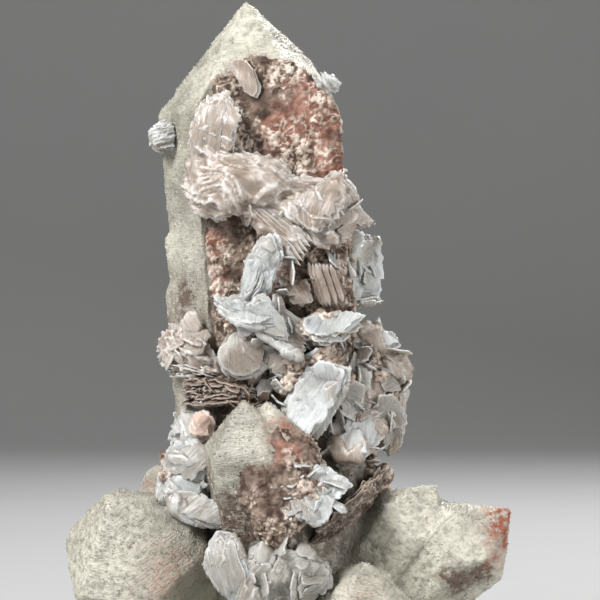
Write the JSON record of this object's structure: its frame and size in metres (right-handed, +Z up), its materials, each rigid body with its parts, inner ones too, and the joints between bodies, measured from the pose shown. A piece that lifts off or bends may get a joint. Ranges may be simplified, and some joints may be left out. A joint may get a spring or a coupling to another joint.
{
  "type": "quartz crystal specimen",
  "caption": "Tall druse-coated quartz point leaning over a foot of shorter points, its hollow front crusted rust red and overgrown by thin white calcite blades.",
  "frame": {"origin": "on the flat cut of the foot that the specimen stands on, below the tall point's axis", "axes": "+Z up along the tall point's height, -Y out of the front that carries the calcite blades"},
  "size_m": [0.0549, 0.0375, 0.0839],
  "materials": {
    "velvet_quartz": "sparkling druse",
    "hematite_crust": "rough, matt",
    "calcite_blade": "translucent, waxy",
    "brown_calcite": "rough, iron-stained",
    "pink_calcite": "waxy"
  },
  "bodies": {
    "root": {"quartz_cluster": "velvet_quartz", "front_crust": "hematite_crust", "small_point_crust": "hematite_crust", "left_shoulder_tuft": "calcite_blade", "right_shoulder_lobe": "calcite_blade", "veil_blades": "calcite_blade", "butterfly_blades": "calcite_blade", "wedge_blade": "pink_calcite", "fluted_stack": "brown_calcite", "right_fan_blades": "calcite_blade", "left_ledge": "calcite_blade", "left_brown_leaves": "brown_calcite", "centre_blade": "calcite_blade", "right_stack": "calcite_blade", "left_wing_blades": "calcite_blade", "pink_lobe": "pink_calcite", "front_blades": "calcite_blade", "right_brown_leaves": "brown_calcite", "right_pebbles": "pink_calcite", "foot_rosette": "calcite_blade", "back_upper_rosette": "calcite_blade", "back_lower_rosette": "calcite_blade", "back_left_rosette": "calcite_blade", "right_side_rosette": "calcite_blade"}
  },
  "joints": []
}
